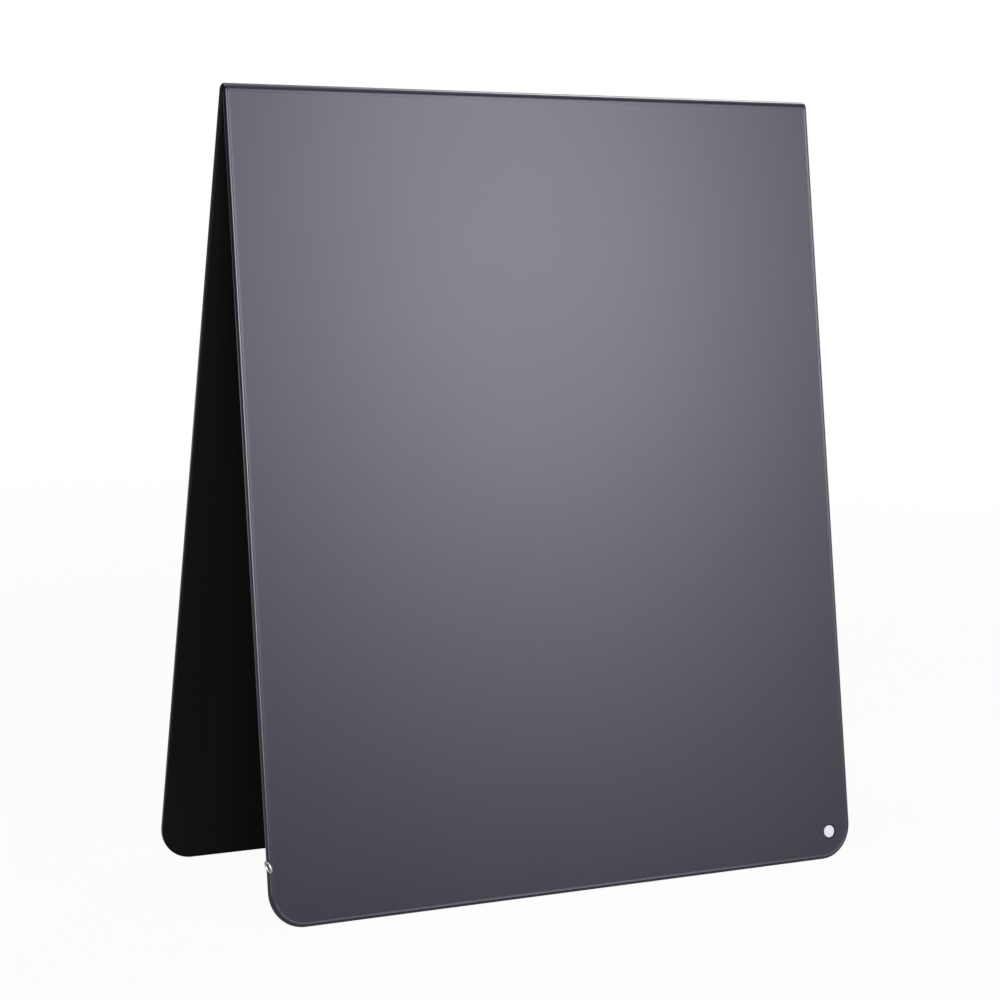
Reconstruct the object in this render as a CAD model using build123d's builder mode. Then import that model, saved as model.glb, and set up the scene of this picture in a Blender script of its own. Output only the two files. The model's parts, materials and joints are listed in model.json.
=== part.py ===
from build123d import *
from math import cos, radians, sin
import os

os.makedirs("parts", exist_ok=True)

# A tabletop board of two wrapped leaves that stand as a tent, hung from one flexible crown strip.
# The origin is under the middle of the board on the surface it stands on: +X runs along the crown,
# the front leaf faces -Y and +Z is up.

# Leaves
board_width = 200.0
leaf_length = 236.6  # down the slope, from where the crown's curve ends to the bottom edge
corner_radius = 10.7
outer_edge_rounding = 1.2  # where the cover rolls over from the writing side
inner_edge_rounding = 0.7
foot_flat_depth = 0.1  # worn off the bottom edge where it stands
open_angle = 19.5  # between the two leaves as they stand

# Layers of a leaf, from the outside in
cover_thickness = 0.4
core_thickness = 1.2
core_outer_bevel = 0.5
core_inner_bevel = 0.2
lining_thickness = 0.4
turn_in = 12.0  # how far the cover is turned over the core's inner side
lining_corner_radius = 3.0

# Crown strip
crown_thickness = 0.8
closed_gap = 0.4  # left between the leaves when they are folded shut
crown_leg = 0.5
seam_gap = 0.03  # between the strip and the leaves' top edges
tongue_length = 12.0
tongue_thickness = 0.32
tongue_play = 0.04
tongue_inset = 4.0  # from the board's sides to the ends of the tongues
end_fold = 2.0  # how far the strip's closed ends reach in from the board's sides

# Rivet in the front leaf's lower right corner
rivet_from_side = 8.0
rivet_from_bottom = 8.45
rivet_head_diameter = 3.85
rivet_head_thickness = 0.6
rivet_shank_diameter = 2.0
cap_diameter = 3.6
cap_thickness = 0.6

# Wire ring at the front leaf's left edge, on a pin that turns in the edge
ring_outer_diameter = 3.75
ring_wire = 0.55
ring_pin_diameter = 0.4
ring_pin_drop = 0.07  # below the middle of the ring's wire
ring_pin_play = 0.03
ring_pin_length = 2.8
ring_swing = 21.0  # the ring's upper side leans this far out from the edge
ring_stand = 0.97  # from the writing face out to the ring's centre
ring_from_side = 0.45  # from the leaf's side out to the ring's centre
ring_from_bottom = 18.15

# Sizes that follow from those above
leaf_thickness = cover_thickness + core_thickness + lining_thickness
crown_radius = leaf_thickness + closed_gap / 2
leaf_top = -(crown_leg + seam_gap)
outer_rounding = min(outer_edge_rounding, 0.6 * leaf_thickness)
inner_rounding = min(inner_edge_rounding, 0.36 * leaf_thickness)
ring_radius = (ring_outer_diameter - ring_wire) / 2

# Each leaf's plane lies on its outer face: its origin is where the crown's curve ends, x runs
# along the crown, y up the slope and z out of the board.
lean = radians(open_angle / 2)
foot_centre_depth = leaf_thickness - inner_rounding
fold_height = (
    (leaf_length - inner_rounding) * cos(lean)
    - (crown_radius - foot_centre_depth) * sin(lean)
    + inner_rounding
    - foot_flat_depth
)
front = Plane(
    origin=(0, -crown_radius * cos(lean), fold_height + crown_radius * sin(lean)),
    x_dir=(1, 0, 0),
    z_dir=(0, -cos(lean), sin(lean)),
)
rear = Plane(
    origin=(0, crown_radius * cos(lean), fold_height + crown_radius * sin(lean)),
    x_dir=(-1, 0, 0),
    z_dir=(0, cos(lean), sin(lean)),
)

# The closed ends' outline between the ends of the crown's curve, from the front leg to the rear one
fold_top = fold_height + closed_gap / 2 / sin(lean)
front_leg = [front.from_local_coords((0, -crown_leg, -depth)) for depth in (0, leaf_thickness)]
fold_outline = [(point.Y, point.Z) for point in front_leg]
fold_outline += [(0, fold_top)] + [(-y, z) for y, z in reversed(fold_outline)]

rivet_place = (board_width / 2 - rivet_from_side, rivet_from_bottom - leaf_length)

# The pin's plane starts in the middle of the ring's wire and faces into the leaf's edge.
ring_centre = front.from_local_coords(
    (-board_width / 2 - ring_from_side, ring_from_bottom - leaf_length, ring_stand)
)
ring_way = -sin(radians(ring_swing)) * front.x_dir + cos(radians(ring_swing)) * front.y_dir
ring_pin = Plane(
    origin=ring_centre - (ring_radius + ring_pin_drop) * front.z_dir,
    x_dir=front.z_dir,
    z_dir=cos(radians(ring_swing)) * front.x_dir + sin(radians(ring_swing)) * front.y_dir,
)


def draw_leaf(inset, radius):
    """Draws a leaf's flat shape in the open sketch, set in from its sides and bottom."""
    height = leaf_length + leaf_top - inset
    with Locations((0, leaf_top - height / 2)):
        Rectangle(board_width - 2 * inset, height)
    fillet(vertices().group_by(Axis.Y)[0], radius)


def rim(slab, plane, side):
    """The edges round a slab's outer (0) or inner (-1) face, without the one at its open top."""
    face = slab.faces().sort_by(Axis(plane.origin, -plane.z_dir))[side]
    return face.edges().sort_by(Axis(plane.origin, plane.y_dir))[:-1]


def core_slab(plane):
    with BuildPart() as slab:
        with BuildSketch(plane.offset(-cover_thickness)):
            draw_leaf(cover_thickness, corner_radius - cover_thickness)
        extrude(amount=-core_thickness)
        chamfer(rim(slab, plane, 0), core_outer_bevel)
        chamfer(rim(slab, plane, -1), core_inner_bevel)
    return slab.part


def make_core(plane):
    """The stiff board, with a shallow step at the top of its outer side for the strip's tongue."""
    slab = core_slab(plane)
    with BuildPart() as core:
        add(slab)
        with BuildSketch(plane.offset(-cover_thickness)):
            with Locations((0, leaf_top)):
                Rectangle(
                    board_width - 2 * tongue_inset + 2 * tongue_play,
                    2 * (tongue_length + tongue_play),
                )
        extrude(amount=-(tongue_thickness + 2 * tongue_play), mode=Mode.SUBTRACT)
    return core


def make_cover(plane):
    """The writing skin, wrapped round the core's edges and turned in over its inner side."""
    slab = core_slab(plane)
    with BuildPart() as cover:
        with BuildSketch(plane):
            draw_leaf(0, corner_radius)
        extrude(amount=-leaf_thickness)
        fillet(rim(cover, plane, 0), outer_rounding)
        fillet(rim(cover, plane, -1), inner_rounding)
        add(slab, mode=Mode.SUBTRACT)
        with BuildSketch(plane.offset(-leaf_thickness)):
            draw_leaf(turn_in, lining_corner_radius)
        extrude(amount=lining_thickness, mode=Mode.SUBTRACT)
        split(bisect_by=Plane.XY, keep=Keep.TOP)
    return cover


def make_lining(plane):
    with BuildPart() as lining:
        with BuildSketch(plane.offset(-leaf_thickness)):
            draw_leaf(turn_in, lining_corner_radius)
        extrude(amount=lining_thickness)
    return lining


# Rear leaf
rear_core = make_core(rear)
rear_cover = make_cover(rear)
rear_lining = make_lining(rear)

# Front leaf, pierced for the rivet and drilled for the ring's pin
front_lining = make_lining(front)
whole_core = make_core(front)
whole_cover = make_cover(front)

with BuildPart() as front_core:
    add(whole_core.part)
    with BuildSketch(front):
        with Locations(rivet_place):
            Circle(rivet_shank_diameter / 2)
    extrude(amount=-leaf_thickness, mode=Mode.SUBTRACT)
    with BuildSketch(front):
        with Locations(rivet_place):
            Circle(rivet_head_diameter / 2)
    extrude(amount=-rivet_head_thickness, mode=Mode.SUBTRACT)
    with BuildSketch(front.offset(-leaf_thickness)):
        with Locations(rivet_place):
            Circle(cap_diameter / 2)
    extrude(amount=cap_thickness, mode=Mode.SUBTRACT)
    with BuildSketch(ring_pin):
        Circle(ring_pin_diameter / 2 + ring_pin_play)
    extrude(amount=ring_pin_length + ring_pin_play, mode=Mode.SUBTRACT)

with BuildPart() as front_cover:
    add(whole_cover.part)
    with BuildSketch(front):
        with Locations(rivet_place):
            Circle(rivet_head_diameter / 2)
    extrude(amount=-rivet_head_thickness, mode=Mode.SUBTRACT)
    with BuildSketch(front.offset(-leaf_thickness)):
        with Locations(rivet_place):
            Circle(cap_diameter / 2)
    extrude(amount=cap_thickness, mode=Mode.SUBTRACT)
    with BuildSketch(ring_pin):
        Circle(ring_pin_diameter / 2 + ring_pin_play)
    extrude(amount=ring_pin_length + ring_pin_play, mode=Mode.SUBTRACT)

# The rivet's head lies flush with the writing face and its cap flush with the inner side.
with BuildPart() as corner_rivet:
    with BuildSketch(front):
        with Locations(rivet_place):
            Circle(rivet_head_diameter / 2)
    extrude(amount=-rivet_head_thickness)
    with BuildSketch(front):
        with Locations(rivet_place):
            Circle(rivet_shank_diameter / 2)
    extrude(amount=-leaf_thickness)

with BuildPart() as rivet_cap:
    with BuildSketch(front.offset(-leaf_thickness)):
        with Locations(rivet_place):
            Circle(cap_diameter / 2)
            Circle(rivet_shank_diameter / 2, mode=Mode.SUBTRACT)
    extrude(amount=cap_thickness)

# The crown strip is a thin half round with closed ends. Past its short legs it steps down to two
# tongues, each in a pocket between a leaf's cover and its core.
with BuildPart() as crown_strip:
    with BuildSketch(Plane.YZ.offset(-board_width / 2)):
        with BuildLine():
            start, sweep = open_angle / 2, 180 - open_angle
            outer = CenterArc((0, fold_height), crown_radius, start, sweep)
            inner = CenterArc((0, fold_height), crown_radius - crown_thickness, start, sweep)
            Line(outer @ 0, inner @ 0)
            Line(outer @ 1, inner @ 1)
        make_face()
    extrude(amount=board_width)
    for plane in (front, rear):
        with BuildSketch(plane):
            with Locations((0, -crown_leg / 2)):
                Rectangle(board_width, crown_leg)
        extrude(amount=-crown_thickness)
    for end in (-board_width / 2, board_width / 2 - end_fold):
        with BuildSketch(Plane.YZ.offset(end)):
            with BuildLine():
                arc = CenterArc((0, fold_height), crown_radius, start, sweep)
                Polyline(arc @ 1, *fold_outline, arc @ 0)
            make_face()
        extrude(amount=end_fold)
    for end, x in ((0, -board_width / 2), (-1, board_width / 2)):
        end_edges = crown_strip.faces().sort_by(Axis.X)[end].edges()
        fillet(end_edges.sort_by_distance((x, 0, fold_height))[-3:], outer_rounding)
    for plane in (front, rear):
        with BuildSketch(plane.offset(-(cover_thickness + tongue_play))):
            with Locations((0, -(crown_leg + tongue_length) / 2)):
                Rectangle(board_width - 2 * tongue_inset, crown_leg + tongue_length)
        extrude(amount=-tongue_thickness)

# The ring stands square to the writing face. Its pin is square to the ring.
with BuildPart() as edge_ring:
    with BuildSketch(Plane(origin=ring_centre, x_dir=front.z_dir, z_dir=ring_way)):
        with Locations((-ring_radius, 0)):
            Circle(ring_wire / 2)
    revolve(axis=Axis(ring_centre, ring_pin.z_dir))
    with BuildSketch(ring_pin):
        Circle(ring_pin_diameter / 2)
    extrude(amount=ring_pin_length)

front_core.part.label = "front_core"
front_cover.part.label = "front_cover"
front_lining.part.label = "front_lining"
rear_core.part.label = "rear_core"
rear_cover.part.label = "rear_cover"
rear_lining.part.label = "rear_lining"
crown_strip.part.label = "crown_strip"
corner_rivet.part.label = "corner_rivet"
rivet_cap.part.label = "rivet_cap"
edge_ring.part.label = "edge_ring"

export_step(front_core.part, "parts/front_core.step")
export_step(front_cover.part, "parts/front_cover.step")
export_step(front_lining.part, "parts/front_lining.step")
export_step(rear_core.part, "parts/rear_core.step")
export_step(rear_cover.part, "parts/rear_cover.step")
export_step(rear_lining.part, "parts/rear_lining.step")
export_step(crown_strip.part, "parts/crown_strip.step")
export_step(corner_rivet.part, "parts/corner_rivet.step")
export_step(rivet_cap.part, "parts/rivet_cap.step")
export_step(edge_ring.part, "parts/edge_ring.step")
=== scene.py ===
import json
import math

import bmesh
import bpy
from mathutils import Matrix, Quaternion, Vector


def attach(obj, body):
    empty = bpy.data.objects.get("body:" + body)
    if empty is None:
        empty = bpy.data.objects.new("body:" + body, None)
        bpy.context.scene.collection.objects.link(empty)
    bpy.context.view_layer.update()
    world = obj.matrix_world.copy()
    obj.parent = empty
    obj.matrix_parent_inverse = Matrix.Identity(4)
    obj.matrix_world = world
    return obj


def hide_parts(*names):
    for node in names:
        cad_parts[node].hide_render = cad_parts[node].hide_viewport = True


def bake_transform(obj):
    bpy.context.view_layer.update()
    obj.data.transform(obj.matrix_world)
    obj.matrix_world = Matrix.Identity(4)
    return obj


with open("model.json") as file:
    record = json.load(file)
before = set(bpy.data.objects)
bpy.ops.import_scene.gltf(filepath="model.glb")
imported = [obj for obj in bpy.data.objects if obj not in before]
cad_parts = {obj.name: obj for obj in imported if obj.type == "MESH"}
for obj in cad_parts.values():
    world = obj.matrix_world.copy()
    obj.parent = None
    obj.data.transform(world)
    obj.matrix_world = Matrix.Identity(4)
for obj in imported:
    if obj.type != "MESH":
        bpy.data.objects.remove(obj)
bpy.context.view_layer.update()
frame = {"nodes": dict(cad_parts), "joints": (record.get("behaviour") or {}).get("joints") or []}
print("frame loaded:", len(frame["nodes"]), "CAD nodes")

mm = 0.001
origin = (0.0, 0.0, 0.0)
tolerance = 1e-7  # two places closer than this are the same
cutTolerance = 1e-8  # of a bisecting plane


# Shader maths: a Link is an output socket that Python's own operators work on.
class Link:
    def __init__(self, paint, socket):
        self.paint = paint
        self.socket = socket

    def maths(self, operation, *values):
        return self.paint.add("ShaderNodeMath", {"operation": operation}, dict(enumerate(values)))

    def __add__(self, other):
        return self.maths("ADD", self, other)

    def __sub__(self, other):
        return self.maths("SUBTRACT", self, other)

    def __mul__(self, other):
        return self.maths("MULTIPLY", self, other)

    def clamped(self):
        return self.maths("MINIMUM", self.maths("MAXIMUM", self, 0.0), 1.0)

    def contrast(self, amount):  # spread about one half
        return (self * amount + (0.5 - 0.5 * amount)).clamped()


# Paint adds nodes to one tree. A Link among the sockets is wired up, any other value is set.
class Paint:
    def __init__(self, tree):
        self.tree = tree
        tree.nodes.clear()

    def add(self, kind, settings=None, sockets=None, out=0):
        node = self.tree.nodes.new(kind)
        for key, value in (settings or {}).items():
            setattr(node, key, value)
        for key, value in (sockets or {}).items():
            if isinstance(value, Link):
                self.tree.links.new(value.socket, node.inputs[key])
            else:
                node.inputs[key].default_value = value
        return Link(self, node.outputs[out]) if node.outputs else None

    def place(self):  # in the piece's own coordinates
        return self.add("ShaderNodeTexCoord", out=3)

    def noise(self, scale, detail, roughness=0.5):
        sockets = {"Vector": self.place(), "Scale": scale, "Detail": detail, "Roughness": roughness}
        return self.add("ShaderNodeTexNoise", {}, sockets)

    def mark(self, name):  # 0 or 1, as markFaces wrote it
        return self.add("ShaderNodeAttribute", {"attribute_name": name}, out=2)

    def mixColours(self, share, colour, other):
        return self.add("ShaderNodeMix", {"data_type": "RGBA"}, {0: share, 6: colour, 7: other}, out=2)

    def mixShaders(self, share, shader, other):
        return self.add("ShaderNodeMixShader", {}, {0: share, 1: shader, 2: other})

    def bump(self, height, strength, distance):
        return self.add("ShaderNodeBump", {}, {"Strength": strength, "Distance": distance, "Height": height})

    def principled(self, sockets):
        return self.add("ShaderNodeBsdfPrincipled", {}, sockets)

    def surface(self, shader):
        self.add("ShaderNodeOutputMaterial", {}, {"Surface": shader})


def newMaterial(name):
    material = bpy.data.materials.new(name)
    material.use_nodes = True
    return material, Paint(material.node_tree)


def grey(value):
    return (value, value, value, 1.0)


# Writing skin: satin black film, with a fine orange peel and a faint cloudiness in its gloss.
skin = {
    "colour": (0.008, 0.008, 0.0155, 1.0),
    "cloudColour": (0.0094, 0.0093, 0.017, 1.0),
    "cloudScale": 22.0,
    "cloudContrast": 2.4,
    "gloss": 0.318,  # roughness
    "edgeGloss": 0.22,  # where it is drawn tight over an edge
    "glossDrift": 0.02,
    "tint": (0.92, 0.92, 1.045, 1.0),  # of its gloss
    "insideColour": (0.0042, 0.0042, 0.0047, 1.0),  # painted shade: darker where the film is turned in behind, and in the groove round the rivet
    "insideGloss": 0.5,
    "insideSheen": 0.08,  # specular level
    "peelSize": 1.1 * mm,
    "peelHeight": 0.006 * mm,
    "grainSize": 0.35 * mm,
    "grainHeight": 0.0015 * mm,
}


def skinMaterial():
    material, paint = newMaterial("satinBlackFilm")
    cloud = paint.noise(skin["cloudScale"], 3.0)
    peel = paint.noise(1 / skin["peelSize"], 1.0)
    grain = paint.noise(1 / skin["grainSize"], 2.0)
    share = cloud.contrast(skin["cloudContrast"])
    drift = (cloud - 0.5) * skin["glossDrift"] + skin["gloss"]
    height = peel * (skin["peelHeight"] / mm) + grain * (skin["grainHeight"] / mm)
    bump = paint.bump(height, 1.0, mm)
    satin = paint.principled(
        {
            "Base Color": paint.mixColours(share, skin["colour"], skin["cloudColour"]),
            "Roughness": drift - paint.mark("edge") * (skin["gloss"] - skin["edgeGloss"]),
            "Specular Tint": skin["tint"],
            "Normal": bump,
        }
    )
    # painted shade: a darker, duller copy of the film for the faces turned in behind the leaf and for the
    # rivet's groove
    paintedShadeFilm = paint.principled(
        {
            "Base Color": skin["insideColour"],
            "Roughness": skin["insideGloss"],
            "Specular IOR Level": skin["insideSheen"],
            "Normal": bump,
        }
    )
    paint.surface(paint.mixShaders(paint.mark("inside"), satin, paintedShadeFilm))
    return material


# Lining sheet: black paper, felted and dull, its colour set darker than paper as a painted shade between the
# leaves.
lining = {
    # painted shade: far darker than black paper, for the shade between the leaves
    "colour": (0.0034, 0.0034, 0.0038, 1.0),
    "fibreColour": (0.0050, 0.0050, 0.0055, 1.0),
    "fibreScale": 900.0,
    "fibreContrast": 3.0,
    "gloss": 0.6,
    "glossDrift": 0.12,
    "sheen": 0.08,
    "feltStrength": 0.35,
    "feltHeight": 0.02 * mm,
}


def liningMaterial():
    material, paint = newMaterial("blackLiningPaper")
    fibre = paint.noise(lining["fibreScale"], 4.0, 0.65)
    share = fibre.contrast(lining["fibreContrast"])
    paper = paint.principled(
        {
            "Base Color": paint.mixColours(share, lining["colour"], lining["fibreColour"]),
            "Roughness": (fibre - 0.5) * lining["glossDrift"] + lining["gloss"],
            "Specular IOR Level": lining["sheen"],
            "Normal": paint.bump(fibre, lining["feltStrength"], lining["feltHeight"]),
        }
    )
    paint.surface(paper)
    return material


# Core board: dense grey pulp board, seen only where the top edges of the leaves stand open.
core = {
    "colour": (0.21, 0.185, 0.155, 1.0),
    "fleckColour": (0.30, 0.27, 0.235, 1.0),
    "fleckScale": 1400.0,
    "fleckContrast": 3.0,
    "gloss": 0.9,
    "pulpStrength": 0.5,
    "pulpHeight": 0.03 * mm,
}


def coreMaterial():
    material, paint = newMaterial("greyPulpBoard")
    fleck = paint.noise(core["fleckScale"], 5.0, 0.7)
    share = fleck.contrast(core["fleckContrast"])
    pulp = paint.principled(
        {
            "Base Color": paint.mixColours(share, core["colour"], core["fleckColour"]),
            "Roughness": core["gloss"],
            "Normal": paint.bump(fleck, core["pulpStrength"], core["pulpHeight"]),
        }
    )
    paint.surface(pulp)
    return material


# Rivet and cap: smooth off-white plastic.
rivet = {
    "colour": (0.60, 0.595, 0.635, 1.0),
    "shadeColour": (0.50, 0.495, 0.53, 1.0),
    "mouldScale": 1500.0,
    "gloss": 0.5,
    "glossDrift": 0.06,
    "sheen": 0.3,
    "mouldStrength": 0.15,
    "mouldHeight": 0.02 * mm,
}


def rivetMaterial():
    material, paint = newMaterial("offWhitePlastic")
    mould = paint.noise(rivet["mouldScale"], 2.0)
    plastic = paint.principled(
        {
            "Base Color": paint.mixColours(mould, rivet["shadeColour"], rivet["colour"]),
            "Roughness": mould * rivet["glossDrift"] + rivet["gloss"],
            "Specular IOR Level": rivet["sheen"],
            "Normal": paint.bump(mould, rivet["mouldStrength"], rivet["mouldHeight"]),
        }
    )
    paint.surface(plastic)
    return material


# Ring: bright plated wire on a pin painted near black, a painted shade inside the loop where the pin goes
# into the leaf.
ring = {
    "colour": (0.80, 0.80, 0.82, 1.0),
    "dullColour": (0.70, 0.70, 0.72, 1.0),
    # painted shade: the pin's near-black colour stands for the shade inside the loop
    "pinColour": (0.03, 0.03, 0.03, 1.0),
    "drawnScale": 1800.0,
    "gloss": 0.3,
    "glossDrift": 0.1,
}


def ringMaterial():
    material, paint = newMaterial("platedWire")
    drawn = paint.noise(ring["drawnScale"], 2.0)
    wire = paint.mixColours(drawn, ring["dullColour"], ring["colour"])
    plated = paint.principled(
        {
            # the pin's faces get the painted shade
            "Base Color": paint.mixColours(paint.mark("pin"), wire, ring["pinColour"]),
            "Metallic": 1.0,
            "Roughness": drawn * ring["glossDrift"] + ring["gloss"],
        }
    )
    paint.surface(plated)
    return material


finishes = {
    "skin": skinMaterial(),
    "lining": liningMaterial(),
    "core": coreMaterial(),
    "rivet": rivetMaterial(),
    "ring": ringMaterial(),
}
finishOf = {
    "front_cover": "skin",
    "rear_cover": "skin",
    "crown_strip": "skin",
    "front_lining": "lining",
    "rear_lining": "lining",
    "front_core": "core",
    "rear_core": "core",
    "corner_rivet": "rivet",
    "rivet_cap": "rivet",
    "edge_ring": "ring",
}
for name, node in frame["nodes"].items():
    node.data.materials.clear()
    node.data.materials.append(finishes[finishOf[name]])
print("materials on the CAD nodes")


# Board: the CAD model's own measures that the pieces below repeat.
board = {
    "width": 200.0 * mm,
    "leafThickness": 2.0 * mm,
    "lean": math.radians(9.75),  # of each leaf from upright
    "crownRadius": 2.2 * mm,
    "crownLeg": 0.5 * mm,
    "endRounding": 0.85 * mm,
    "sharpBend": math.radians(32.0),  # edges that bend more than this stay sharp
}
joints = {joint["name"]: joint for joint in frame["joints"]}
foldLine = Vector(joints["fold"]["pos_m"])
outward = {  # out of each leaf's writing face
    "front": Vector((0.0, -math.cos(board["lean"]), math.sin(board["lean"]))),
    "rear": Vector((0.0, math.cos(board["lean"]), math.sin(board["lean"]))),
}
upSlope = {
    "front": Vector((0.0, math.sin(board["lean"]), math.cos(board["lean"]))),
    "rear": Vector((0.0, -math.sin(board["lean"]), math.cos(board["lean"]))),
}


def leafTurn(side):  # x across, y up the slope, z out of the writing face
    across = Vector((1.0, 0.0, 0.0)) if side == "front" else Vector((-1.0, 0.0, 0.0))
    return Matrix((across, upSlope[side], outward[side])).transposed()


def placeOnLeaf(shape, side):
    bmesh.ops.rotate(shape, cent=origin, matrix=leafTurn(side), verts=shape.verts)
    bmesh.ops.translate(shape, vec=foldLine + outward[side] * board["crownRadius"], verts=shape.verts)


# Small helpers for the shapes.
def only(kind, parts):
    return [part for part in parts if isinstance(part, kind)]


def whole(shape):
    return shape.verts[:] + shape.edges[:] + shape.faces[:]


def newVertex(shape, place):
    return bmesh.ops.create_vert(shape, co=place)["vert"][0]


def drawLine(shape, start, places):  # from a vertex through some places
    line = [start]
    for place in places:
        line += bmesh.ops.extrude_vert_indiv(shape, verts=line[-1:])["verts"]
        line[-1].co = place
    return line


def extrudeFaces(shape, faces, along):
    made = bmesh.ops.extrude_face_region(shape, geom=faces)["geom"]
    bmesh.ops.translate(shape, vec=along, verts=only(bmesh.types.BMVert, made))
    bmesh.ops.recalc_face_normals(shape, faces=shape.faces)


def roundOff(shape, geom, radius, steps, affect="EDGES"):
    bmesh.ops.bevel(shape, geom=geom, offset=radius, segments=steps, profile=0.5, affect=affect, material=-1)


def markFaces(shape, name, test):  # 1 where the test holds; a material reads it
    layer = shape.faces.layers.float.new(name)
    for face in shape.faces:
        face[layer] = 1.0 if test(face) else 0.0


def newObject(name, data):
    item = bpy.data.objects.new(name, data)
    bpy.context.scene.collection.objects.link(item)
    return item


def newMeshObject(name, shape, material):
    mesh = bpy.data.meshes.new(name)
    shape.to_mesh(mesh)
    shape.free()
    mesh.materials.append(material)
    return newObject(name, mesh)


def newPiece(name, shape, finish, wall=0.0):  # smooth rounds, flat flats, and a wall for a thin sheet
    bmesh.ops.recalc_face_normals(shape, faces=shape.faces)
    for face in shape.faces:
        face.smooth = True
    for edge in shape.edges:
        edge.smooth = edge.is_manifold and edge.calc_face_angle() < board["sharpBend"]
    piece = newMeshObject(name, shape, finishes[finish])
    if wall:
        sheet = piece.modifiers.new("sheet", "SOLIDIFY")
        sheet.thickness = wall
        sheet.offset = -1.0
        sheet.use_even_offset = True
        sheet.use_quality_normals = True
    flats = piece.modifiers.new("flats", "WEIGHTED_NORMAL")
    flats.keep_sharp = True
    return piece


# Crown film: a half round over the fold line with a short leg down to each leaf and closed ends.
crown = {
    "arcSteps": 28,
    "roundSteps": 7,
    "tongue": (192.0 * mm, 12.0 * mm, 0.32 * mm),  # across the board, down the leaf, thick
    "tongueDepth": 0.6 * mm,  # of its middle, under the writing face
    "tongueOverlap": 0.1 * mm,  # that it reaches up into the leg
}


def drawCrownSection(shape):
    foot = {
        side: foldLine + outward[side] * board["crownRadius"] - upSlope[side] * board["crownLeg"]
        for side in outward
    }
    back = {side: foot[side] - outward[side] * board["leafThickness"] for side in outward}
    gap = board["crownRadius"] - board["leafThickness"]
    notch = foldLine + Vector((0.0, 0.0, gap / math.sin(board["lean"])))
    start = newVertex(shape, foldLine + outward["rear"] * board["crownRadius"])
    sweep = math.pi - 2 * board["lean"]
    bmesh.ops.spin(
        shape, geom=[start], cent=foldLine, axis=(1.0, 0.0, 0.0), angle=sweep, steps=crown["arcSteps"],
        use_duplicate=False
    )
    ends = [vert for vert in shape.verts if len(vert.link_edges) == 1]
    ends.sort(key=lambda vert: vert.co.y)
    places = (foot["front"], back["front"], notch, back["rear"], foot["rear"])
    line = drawLine(shape, ends[0], places)
    bmesh.ops.contextual_create(shape, geom=[line[-1], ends[-1]])


def addTongue(shape, side):
    plate = bmesh.ops.create_cube(shape, size=1.0)["verts"]
    bmesh.ops.scale(shape, vec=crown["tongue"], verts=plate)
    bmesh.ops.rotate(shape, cent=origin, matrix=leafTurn(side), verts=plate)
    middle = foldLine + outward[side] * (board["crownRadius"] - crown["tongueDepth"])
    middle -= upSlope[side] * (board["crownLeg"] + crown["tongue"][1] / 2 - crown["tongueOverlap"])
    bmesh.ops.translate(shape, vec=middle, verts=plate)


def isCrownEndEdge(edge):  # on the outer curve, round either end
    level = abs(edge.verts[0].co.x - edge.verts[1].co.x) < tolerance
    reach = [math.hypot(vert.co.y - foldLine.y, vert.co.z - foldLine.z) for vert in edge.verts]
    return level and min(reach) > board["crownRadius"] * 0.99


def makeCrown():
    shape = bmesh.new()
    drawCrownSection(shape)
    bmesh.ops.translate(shape, vec=(-board["width"] / 2, 0.0, 0.0), verts=shape.verts)
    section = bmesh.ops.contextual_create(shape, geom=shape.edges)["faces"]
    extrudeFaces(shape, section, (board["width"], 0.0, 0.0))
    rims = [edge for edge in shape.edges if isCrownEndEdge(edge)]
    roundOff(shape, rims, board["endRounding"], crown["roundSteps"])
    for side in outward:
        addTongue(shape, side)
    markFaces(shape, "edge", lambda face: face.normal.z > 0.5 or abs(face.normal.x) > 0.1)  # crest and ends
    piece = newPiece("crownFilm", shape, "skin")
    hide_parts("crown_strip")
    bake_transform(piece)


# Wire ring: a closed loop of round wire, its ends butted together, on a thin pin in the leaf's edge.
wireRing = {
    "radius": 1.6 * mm,
    "wire": 0.55 * mm,
    "wireSegments": 20,
    "loopSteps": 72,
    "pin": 0.4 * mm,
    "pinSegments": 20,
    "pinDrop": 0.07 * mm,  # of the pin's middle under the wire's
    "pinLength": 2.8 * mm,
    "seam": 2.5,  # degrees left open between the wire's ends
    "seamPlace": 35.0,  # degrees round the loop
}


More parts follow.
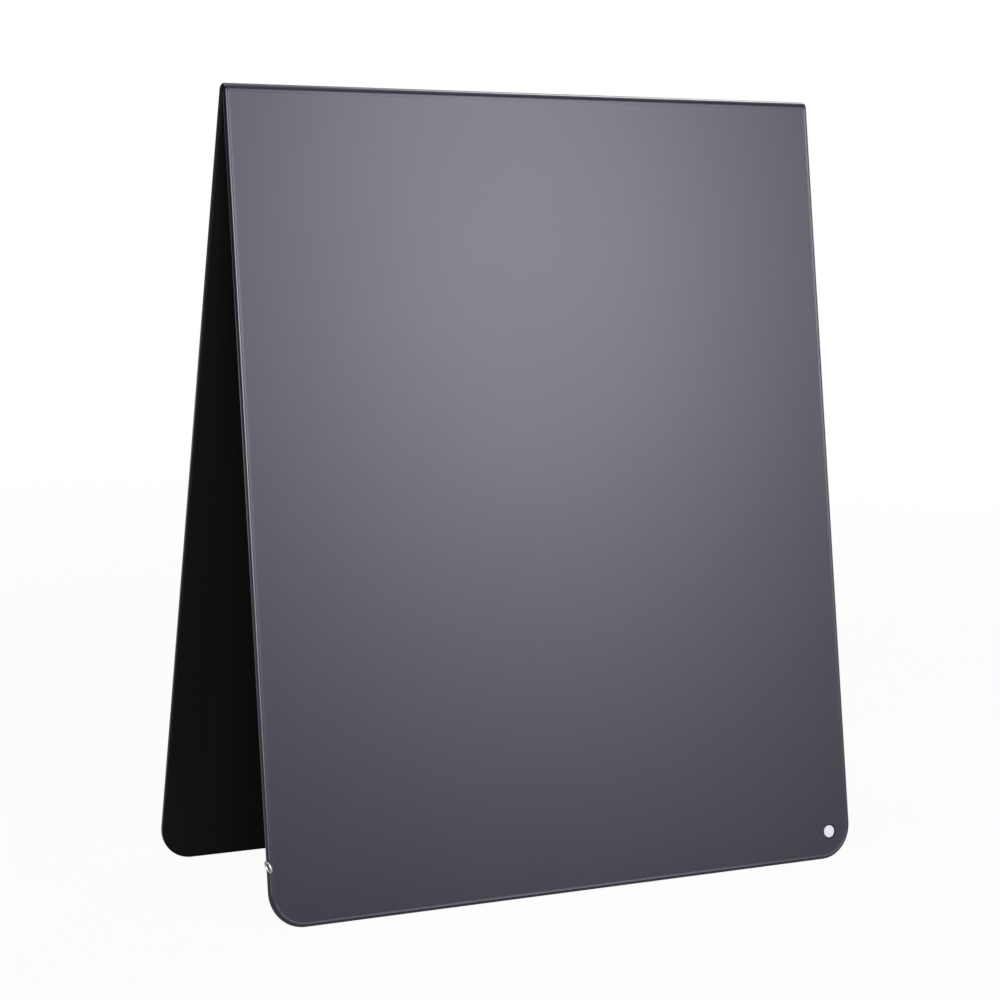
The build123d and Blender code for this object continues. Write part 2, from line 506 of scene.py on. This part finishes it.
def makeRing():
    axis = Vector(joints["ring_turn"]["axis"]).normalized()
    rise = outward["front"]
    drop = wireRing["radius"] + wireRing["pinDrop"]
    centre = Vector(joints["ring_turn"]["pos_m"]) + rise * drop
    turn = Matrix((axis.cross(rise), rise, axis)).transposed()  # x and y in the loop, z out along the pin
    shape = bmesh.new()
    loop = bmesh.ops.create_circle(
        shape, segments=wireRing["wireSegments"], radius=wireRing["wire"] / 2, cap_ends=True
    )["verts"]
    bmesh.ops.rotate(shape, cent=origin, matrix=Matrix.Rotation(math.pi / 2, 3, "X"), verts=loop)
    bmesh.ops.translate(shape, vec=(wireRing["radius"], 0.0, 0.0), verts=loop)
    seamTurn = Matrix.Rotation(math.radians(wireRing["seamPlace"]), 3, "Z")
    bmesh.ops.rotate(shape, cent=origin, matrix=seamTurn, verts=loop)
    sweep = 2 * math.pi - math.radians(wireRing["seam"])
    bmesh.ops.spin(
        shape, geom=shape.faces[:], cent=origin, axis=(0.0, 0.0, 1.0), angle=sweep,
        steps=wireRing["loopSteps"]
    )
    pinRadius = wireRing["pin"] / 2
    pin = bmesh.ops.create_cone(
        shape, cap_ends=True, segments=wireRing["pinSegments"], radius1=pinRadius, radius2=pinRadius,
        depth=wireRing["pinLength"]
    )["verts"]
    markFaces(shape, "pin", lambda face: any(vert in pin for vert in face.verts))
    bmesh.ops.translate(shape, vec=(0.0, -drop, -wireRing["pinLength"] / 2), verts=pin)
    bmesh.ops.rotate(shape, cent=origin, matrix=turn, verts=shape.verts)
    bmesh.ops.translate(shape, vec=centre, verts=shape.verts)
    piece = newPiece("wireRing", shape, "ring")
    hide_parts("edge_ring")
    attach(piece, "ring")


# Cover: one sheet over the writing side, rolled round the edges and turned in behind. Its rim is a
# little raised.
cover = {
    "length": 236.6 * mm,  # down the slope from where the crown's curve ends
    "top": 0.53 * mm,  # from there to its top edge
    "cornerRadius": 10.7 * mm,
    "cornerSteps": 16,
    "outerRounding": 0.85 * mm,
    "innerRounding": 0.7 * mm,
    "roundSteps": 6,
    "film": 0.4 * mm,
    "rim": ((0.06 * mm, 0.003 * mm), (0.40 * mm, 0.044 * mm), (0.14 * mm, 0.005 * mm)),  # width, fall inward
    "spare": 3.0 * mm,  # made past the top edge, then cut off there
    "turnIn": 12.0 * mm,
    "windowRadius": 3.0 * mm,
    "windowSteps": 6,
}
rivetPlace = {
    "fromSide": 8.0 * mm,
    "fromBottom": 8.45 * mm,
    "head": 1.925 * mm,
    "cap": 1.8 * mm,
    "groove": 0.38 * mm,  # left open round the head
    "grooveDepth": 0.3 * mm,
    "collar": 0.65 * mm,  # flat left round a punched hole, cut off square
    "collarCuts": 7,
}
leafBottom, leafBack = -cover["length"], -board["leafThickness"]
rimFall = sum(fall for _, fall in cover["rim"])
grooveRadius = rivetPlace["head"] + rivetPlace["groove"]


def rivetCentre(level):
    across = board["width"] / 2 - rivetPlace["fromSide"]
    return Vector((across, leafBottom + rivetPlace["fromBottom"], level))


def makeLeafBlank(shape):  # a slab with two round corners and both rims rounded
    half, top = board["width"] / 2, cover["spare"]
    outline = ((-half, top), (-half, leafBottom), (half, leafBottom), (half, top))
    corners = [newVertex(shape, (x, y, 0.0)) for x, y in outline]
    bmesh.ops.contextual_create(shape, geom=corners)
    roundOff(shape, corners[1:3], cover["cornerRadius"], cover["cornerSteps"], "VERTICES")
    extrudeFaces(shape, shape.faces[:], (0.0, 0.0, leafBack))
    for level, rounding in ((0.0, cover["outerRounding"]), (leafBack, cover["innerRounding"])):
        rim = [
            edge for edge in shape.edges
            if all(abs(vert.co.z - level) < tolerance for vert in edge.verts)
            and any(vert.co.y < top - tolerance for vert in edge.verts)
        ]
        roundOff(shape, rim, rounding, cover["roundSteps"])


def sinkWritingFace(shape):
    writing = max(shape.faces, key=lambda face: face.calc_area() * face.normal.z)
    for width, fall in cover["rim"]:
        bmesh.ops.inset_region(
            shape, faces=[writing], thickness=width, depth=-fall, use_even_offset=True, use_boundary=True
        )
    return writing


def openBack(shape):  # the top end and the back go, apart from a margin round the lining's window
    top = cover["spare"]
    behind = max(shape.faces, key=lambda face: -face.calc_area() * face.normal.z)
    upper = max(shape.faces, key=lambda face: face.normal.y * face.calc_area())
    topEdges = [edge for edge in behind.edges if all(vert.co.y >= top - tolerance for vert in edge.verts)]
    bmesh.ops.delete(shape, geom=[behind, upper], context="FACES_ONLY")
    bmesh.ops.delete(shape, geom=topEdges, context="EDGES")
    half, low = board["width"] / 2 - cover["turnIn"], leafBottom + cover["turnIn"]
    start = newVertex(shape, (-half, top, leafBack))
    window = drawLine(shape, start, ((-half, low, leafBack), (half, low, leafBack), (half, top, leafBack)))
    roundOff(shape, window[1:3], cover["windowRadius"], cover["windowSteps"], "VERTICES")
    level = [vert for vert in shape.verts if abs(vert.co.z - leafBack) < tolerance]
    for way in (-1, 1):
        ends = [vert for vert in level if abs(vert.co.y - top) < tolerance and vert.co.x * way > 0]
        bmesh.ops.contextual_create(shape, geom=ends)
    loop = [edge for edge in shape.edges if all(abs(vert.co.z - leafBack) < tolerance for vert in edge.verts)]
    return bmesh.ops.contextual_create(shape, geom=loop)["faces"][0]


def punch(shape, face, centre, radius):  # a round hole in a flat face
    reach = radius + rivetPlace["collar"]
    for along in (Vector((1.0, 0.0, 0.0)), Vector((0.0, 1.0, 0.0))):
        for way in (-1, 1):
            geom = [face, *face.edges, *face.verts]
            cut = bmesh.ops.bisect_plane(
                shape, geom=geom, dist=cutTolerance, plane_co=centre + along * way * reach, plane_no=along
            )
            parts = only(bmesh.types.BMFace, cut["geom"])
            face = next(part for part in parts if bmesh.geometry.intersect_face_point(part, centre))
    bmesh.ops.subdivide_edges(shape, edges=face.edges[:], cuts=rivetPlace["collarCuts"])
    border = face.edges[:]
    bmesh.ops.delete(shape, geom=[face], context="FACES_ONLY")
    circle = bmesh.ops.create_circle(
        shape, segments=len(border), radius=radius, matrix=Matrix.Translation(centre)
    )["verts"]
    hole = list({edge for vert in circle for edge in vert.link_edges})
    bmesh.ops.bridge_loops(shape, edges=border + hole)
    return hole


def cutRivetHoles(shape, writing, margin):  # a groove round the head in front, a plain hole behind
    centre = rivetCentre(-rimFall)
    hole = punch(shape, writing, centre, grooveRadius)
    for share, depth in ((1.0, rivetPlace["grooveDepth"]), (rivetPlace["head"] / grooveRadius, 0.0)):
        made = bmesh.ops.extrude_edge_only(shape, edges=hole)["geom"]
        hole = only(bmesh.types.BMEdge, made)
        around = list({vert for edge in hole for vert in edge.verts})
        space = Matrix.Translation((-centre.x, -centre.y, 0.0))
        bmesh.ops.scale(shape, vec=(share, share, 1.0), space=space, verts=around)
        bmesh.ops.translate(shape, vec=(0.0, 0.0, -depth), verts=around)
    punch(shape, margin, rivetCentre(leafBack), rivetPlace["cap"])


def isInGroove(face, side):
    away = face.calc_center_median() - rivetCentre(-rimFall)
    return side == "front" and away.xy.length < grooveRadius and away.z < -tolerance


def makeCover(side):
    shape = bmesh.new()
    makeLeafBlank(shape)
    writing = sinkWritingFace(shape)
    margin = openBack(shape)
    if side == "front":
        cutRivetHoles(shape, writing, margin)
    bmesh.ops.bisect_plane(
        shape, geom=whole(shape), dist=cutTolerance, plane_co=(0.0, -cover["top"], 0.0),
        plane_no=(0.0, 1.0, 0.0), clear_outer=True
    )
    bmesh.ops.recalc_face_normals(shape, faces=shape.faces)
    # faces turned in behind the leaf and in the rivet's groove take the painted shade
    markFaces(shape, "inside", lambda face: face.normal.z < -0.4 or isInGroove(face, side))
    markFaces(shape, "edge", lambda face: abs(face.normal.z) < 0.99 and not isInGroove(face, side))
    placeOnLeaf(shape, side)
    foot = bmesh.ops.bisect_plane(
        shape, geom=whole(shape), dist=cutTolerance, plane_co=origin, plane_no=(0.0, 0.0, 1.0),
        clear_inner=True
    )
    bmesh.ops.holes_fill(shape, edges=only(bmesh.types.BMEdge, foot["geom_cut"]))
    piece = newPiece(side + "Cover", shape, "skin", wall=cover["film"])
    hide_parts(side + "_cover")
    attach(piece, side + "_leaf")


# Rivet: a head let into the writing side, its shank, and a cap pressed on behind.
rivetShape = {
    "head": 1.9 * mm,
    "headTop": 0.03 * mm,  # under the crest of the rim
    "headDepth": 0.6 * mm,
    "rounding": 0.12 * mm,
    "shank": 1.0 * mm,
    "cap": 1.78 * mm,
    "capDepth": 0.6 * mm,
    "steps": 64,
}


def makeTurned(name, outline, replaced):  # an outline of places out from and up the rivet's axis
    shape = bmesh.new()
    places = [(out, 0.0, up) for out, up in outline]
    drawLine(shape, newVertex(shape, places[0]), places[1:])
    bmesh.ops.spin(
        shape, geom=shape.verts[:] + shape.edges[:], cent=origin, axis=(0.0, 0.0, 1.0), angle=2 * math.pi,
        steps=rivetShape["steps"], use_merge=True
    )
    bmesh.ops.remove_doubles(shape, verts=shape.verts, dist=tolerance)
    bmesh.ops.translate(shape, vec=rivetCentre(0.0), verts=shape.verts)
    placeOnLeaf(shape, "front")
    piece = newPiece(name, shape, "rivet")
    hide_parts(replaced)
    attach(piece, "front_leaf")


def makeRivet():
    top, low = -rivetShape["headTop"], -rivetShape["headDepth"]
    head, shank, cap = rivetShape["head"], rivetShape["shank"], rivetShape["cap"]
    back, inner = leafBack, leafBack + rivetShape["capDepth"]
    soft = rivetShape["rounding"]
    bend = soft * (1 - math.sqrt(0.5))  # half way round a rounding
    headOutline = (
        (0.0, top), (head - soft, top), (head - bend, top - bend), (head, top - soft), (head, low),
        (shank, low), (shank, back), (0.0, back),
    )
    capOutline = (
        (shank, inner), (shank, back), (cap - soft, back), (cap - bend, back + bend), (cap, back + soft),
        (cap, inner), (shank, inner),
    )
    makeTurned("rivet", headOutline, "corner_rivet")
    makeTurned("rivetCap", capOutline, "rivet_cap")


# Stage: a pale floor that turns to plain white away from the board, in a world that only shows as white.
stage = {
    "radius": 6.0,
    "segments": 96,
    "floorColour": 0.8,
    "shadowShare": 0.05,  # of the lit floor, that the camera sees on the white
    "whiteFrom": 0.35,
    "whiteTo": 1.1,
}


def seenWhite(paint):  # 1 for camera, glossy and transmission rays
    camera = paint.add("ShaderNodeLightPath", out=0)
    glossy = paint.add("ShaderNodeLightPath", out=3)
    through = paint.add("ShaderNodeLightPath", out=6)
    return (camera + glossy + through).clamped()


def makeFloor():
    material, paint = newMaterial("paleFloor")
    away = paint.add("ShaderNodeVectorMath", {"operation": "LENGTH"}, {0: paint.place()}, out=1)
    far = paint.add(
        "ShaderNodeMapRange",
        {"interpolation_type": "SMOOTHSTEP"},
        {"Value": away, "From Min": stage["whiteFrom"], "From Max": stage["whiteTo"]},
    )
    lit = paint.add("ShaderNodeBsdfDiffuse", {}, {"Color": grey(stage["floorColour"])})
    white = paint.add("ShaderNodeEmission", {}, {"Color": grey(1.0), "Strength": 1.0})
    seen = paint.add("ShaderNodeLightPath", out=0)
    share = seen * (stage["shadowShare"] - 1.0) + 1.0  # gloss sees the lit floor under the board as it is
    near = paint.mixShaders(share, white, lit)
    pale = paint.mixShaders(far, near, white)
    paint.surface(paint.mixShaders(seenWhite(paint), lit, pale))
    shape = bmesh.new()
    bmesh.ops.create_circle(shape, cap_ends=True, segments=stage["segments"], radius=stage["radius"])
    newMeshObject("floor", shape, material)


def makeWorld():
    world = bpy.data.worlds.new("studio")
    world.use_nodes = True
    bpy.context.scene.world = world
    paint = Paint(world.node_tree)
    sky = paint.add("ShaderNodeBackground", {}, {"Color": grey(1.0), "Strength": seenWhite(paint)})
    paint.add("ShaderNodeOutputWorld", {}, {"Surface": sky})


makeCover("front")
makeCover("rear")
print("covers made")
makeCrown()
makeRing()
makeRivet()
print("crown film, ring and rivet made")
makeFloor()
makeWorld()


def direction(azimuth, elevation):  # degrees; from the front, and towards +X where it is positive
    turn, rise = math.radians(azimuth), math.radians(elevation)
    return Vector((math.sin(turn) * math.cos(rise), -math.cos(turn) * math.cos(rise), math.sin(rise)))


# Soft boxes, each a few panels: azimuth, elevation, width and height in degrees, radiance.
boxes = {
    "keyBox": (
        (30.0, 5.0, 10.0, 10.0, 4.4),
        (30.0, 15.0, 10.0, 10.0, 15.0),
        (30.0, 25.0, 10.0, 10.0, 12.1),
        (30.0, 35.0, 10.0, 10.0, 2.2),
        (20.0, 5.0, 10.0, 10.0, 0.7),
        (20.0, 15.0, 10.0, 10.0, 0.8),
        (20.0, 25.0, 10.0, 10.0, 0.5),
    ),
    "leftBox": (
        (-50.0, 5.0, 10.0, 10.0, 4.5),
        (-40.0, 5.0, 10.0, 10.0, 9.0),
        (-30.0, 5.0, 10.0, 10.0, 7.0),
        (-20.0, 5.0, 10.0, 10.0, 3.5),
        (-40.0, 15.0, 10.0, 10.0, 9.0),
        (-30.0, 15.0, 10.0, 10.0, 13.5),
        (-20.0, 15.0, 10.0, 10.0, 13.5),
        (-10.0, 15.0, 10.0, 10.0, 7.0),
        (-30.0, 25.0, 10.0, 10.0, 9.0),
        (-20.0, 25.0, 10.0, 10.0, 6.0),
    ),
    "rearBox": ((120.0, 50.0, 10.0, 20.0, 8.1), (130.0, 50.0, 10.0, 20.0, 5.9)),
    "topBox": ((270.0, 72.0, 60.0, 24.0, 3.8),),
}
lampDistance = 1.6
aim = Vector((0.0, 0.0, 0.12))


def makeLamp(name, azimuth, elevation, wide, high, radiance):
    away = direction(azimuth, elevation)
    data = bpy.data.lights.new(name, "AREA")
    data.shape = "RECTANGLE"
    levelDistance = lampDistance * math.cos(math.radians(elevation))
    data.size = 2 * levelDistance * math.tan(math.radians(wide) / 2)
    data.size_y = 2 * lampDistance * math.tan(math.radians(high) / 2)
    data.energy = 4 * data.size * data.size_y * radiance
    lamp = newObject(name, data)
    lamp.location = aim + away * lampDistance
    lamp.rotation_mode = "QUATERNION"
    lamp.rotation_quaternion = away.to_track_quat("Z", "Y")


# Dark curtain behind the lamps, in front of the board: the gloss has only the soft boxes to show.
curtain = {"from": -165.0, "to": 62.0, "radius": 2.2, "height": 3.0, "steps": 48, "colour": 0.02}


def makeCurtain():
    material, paint = newMaterial("curtainCloth")
    paint.surface(paint.add("ShaderNodeBsdfDiffuse", {}, {"Color": grey(curtain["colour"])}))
    shape = bmesh.new()
    foot = direction(curtain["from"], 0.0) * curtain["radius"]
    drawLine(shape, newVertex(shape, foot), (foot + Vector((0.0, 0.0, curtain["height"])),))
    sweep = math.radians(curtain["to"] - curtain["from"])
    bmesh.ops.spin(
        shape, geom=shape.edges[:], cent=origin, axis=(0.0, 0.0, 1.0), angle=sweep, steps=curtain["steps"]
    )
    cloth = newMeshObject("curtain", shape, material)
    cloth.visible_camera = False


for name, panels in boxes.items():
    for number, panel in enumerate(panels):
        makeLamp(name + str(number + 1), *panel)
makeCurtain()
print("stage, curtain and lamps in place")

camera = {
    "lookAt": Vector((-0.006687, 0.0, 0.112456)),
    "azimuth": -29.3476,
    "elevation": 7.6439,
    "roll": 1.4492,
    "distance": 0.825369,
    "lens": 97.671,
    "sensor": 36.0,
    "farthest": 50.0,
}


def makeCamera():
    away = direction(camera["azimuth"], camera["elevation"])
    data = bpy.data.cameras.new("photoView")
    data.lens = camera["lens"]
    data.sensor_width = camera["sensor"]
    data.clip_end = camera["farthest"]
    eye = newObject("photoView", data)
    eye.location = camera["lookAt"] + away * camera["distance"]
    eye.rotation_mode = "QUATERNION"
    roll = Quaternion((0, 0, 1), math.radians(camera["roll"]))
    eye.rotation_quaternion = away.to_track_quat("Z", "Y") @ roll
    bpy.context.scene.camera = eye


makeCamera()
bpy.context.scene.view_settings.view_transform = "Standard"

print("finished")
